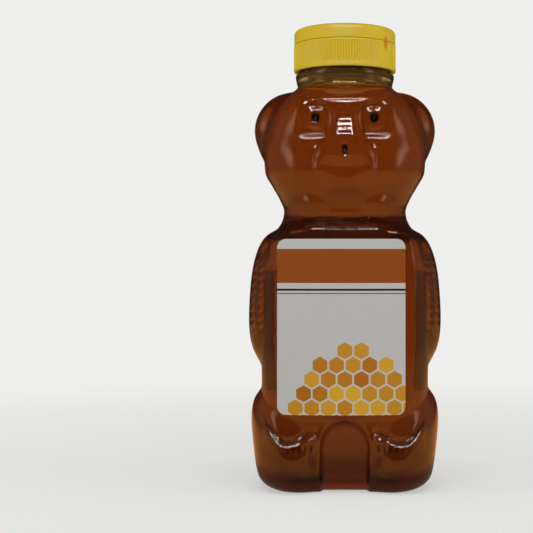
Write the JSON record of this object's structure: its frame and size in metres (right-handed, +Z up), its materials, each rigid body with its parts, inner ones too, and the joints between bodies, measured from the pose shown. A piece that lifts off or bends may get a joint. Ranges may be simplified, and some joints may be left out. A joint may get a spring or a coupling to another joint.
{
  "type": "honey bear bottle",
  "caption": "Clear bear-shaped squeeze bottle full of honey, with a ribbed screw cap, a flip-top lid over a spout, and a label on its front panel.",
  "frame": {"origin": "on the neck's axis in the plane that the bottle stands on, under the middle of its box", "axes": "+Z up along the neck's axis; the bear faces -Y; +X is to the right as one looks at its face"},
  "size_m": [0.077, 0.0612, 0.184],
  "materials": {
    "clear_pet": "gloss",
    "honey": "gloss",
    "seal_foil": "satin",
    "washer_foam": "matte",
    "yellow_pp": "satin",
    "front_label_paper": "satin",
    "back_label_paper": "satin"
  },
  "bodies": {
    "bottle": {"bear_bottle": "clear_pet", "honey_fill": "honey", "foil_seal": "seal_foil", "front_label": "front_label_paper", "back_label": "back_label_paper"},
    "washer": {"sealing_washer": "washer_foam"},
    "cap": {"cap_base": "yellow_pp", "hinge_film": "yellow_pp", "hinge_strap_left": "yellow_pp", "hinge_strap_right": "yellow_pp"},
    "lid": {"flip_lid": "yellow_pp"}
  },
  "joints": [
    {"name": "cap_lift", "type": "slide", "parent": "bottle", "child": "washer", "axis": [0, 0, 1], "range_m": [0, 0.0043]},
    {"name": "cap_turn", "type": "hinge", "parent": "washer", "child": "cap", "pos_m": [0, 0, 0.167], "axis": [0, 0, 1], "range_deg": [0, 360]},
    {"name": "lid_flip", "type": "hinge", "parent": "cap", "child": "lid", "pos_m": [-0.01638, 0.01147, 0.17795], "axis": [-0.5736, -0.8192, 0], "range_deg": [0, 150], "deforming": ["hinge_film", "hinge_strap_left", "hinge_strap_right"]}
  ],
  "couplings": [
    {"joint": "cap_lift", "follows": "cap_turn", "m_per_rad": 0.0006737}
  ]
}
